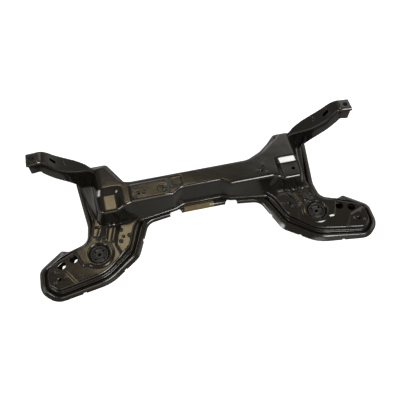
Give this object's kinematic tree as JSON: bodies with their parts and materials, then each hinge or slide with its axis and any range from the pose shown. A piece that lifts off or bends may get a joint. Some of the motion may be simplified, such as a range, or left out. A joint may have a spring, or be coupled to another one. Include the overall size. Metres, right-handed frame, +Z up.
{
  "type": "front axle beam",
  "caption": "Black painted pressed-steel front axle beam for a small car, with two lobes for the suspension arms and two raised horns that bolt to the body.",
  "frame": {"origin": "middle of the outline seen from above, on the underside of the lower pressing", "axes": "+X across the car along the beam, -Y towards the lobes, +Z up"},
  "size_m": [0.98, 0.421, 0.231],
  "materials": {
    "black_paint": "satin",
    "painted_sleeve": "satin",
    "bush_steel": "satin",
    "bush_rubber": "matt",
    "nut_steel": "satin"
  },
  "bodies": {
    "root": {"left_arm_bolt_nut": "nut_steel", "left_arm_pilot_nut": "nut_steel", "left_arm_plate": "black_paint", "left_bulkhead": "black_paint", "left_bush_rubber": "bush_rubber", "left_bush_shell": "bush_steel", "left_bush_sleeve": "bush_steel", "left_horn_bottom": "black_paint", "left_horn_sleeve": "painted_sleeve", "left_horn_top": "black_paint", "left_inner_beam_nut": "nut_steel", "left_outer_beam_nut": "nut_steel", "lower_pressing": "black_paint", "right_arm_bolt_nut": "nut_steel", "right_arm_pilot_nut": "nut_steel", "right_arm_plate": "black_paint", "right_beam_nut": "nut_steel", "right_bulkhead": "black_paint", "right_bush_rubber": "bush_rubber", "right_bush_shell": "bush_steel", "right_bush_sleeve": "bush_steel", "right_horn_bottom": "black_paint", "right_horn_sleeve": "painted_sleeve", "right_horn_top": "black_paint", "upper_pressing": "black_paint"}
  },
  "joints": []
}
